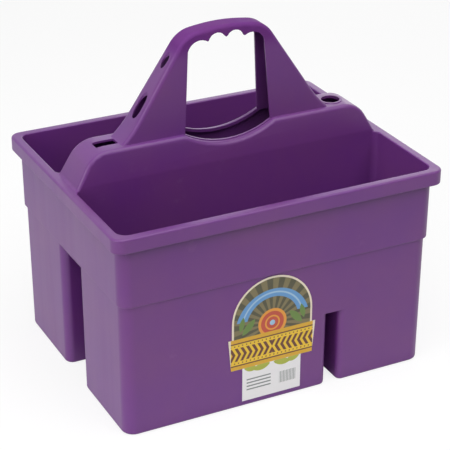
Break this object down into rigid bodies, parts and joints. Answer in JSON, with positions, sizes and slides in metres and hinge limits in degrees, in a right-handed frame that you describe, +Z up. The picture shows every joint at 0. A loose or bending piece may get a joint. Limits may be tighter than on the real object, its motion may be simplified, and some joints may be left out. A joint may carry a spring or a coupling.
{
  "type": "grooming tote",
  "caption": "Moulded plastic grooming tote with open compartments either side of a hollow divider, a finger-grip handle, tool holes and a channel that fits over a rail.",
  "frame": {"origin": "on the ground under the middle of the tub", "axes": "+X along the divider and the handle, -Y out of the labelled wall, +Z up"},
  "size_m": [0.4064, 0.3206, 0.4074],
  "materials": {
    "purple_polyethylene": "satin moulded skin with a fine grain on the grip",
    "printed_label": "printed with a satin varnish"
  },
  "bodies": {
    "root": {"tote_moulding": "purple_polyethylene", "product_label": "printed_label"}
  },
  "joints": []
}
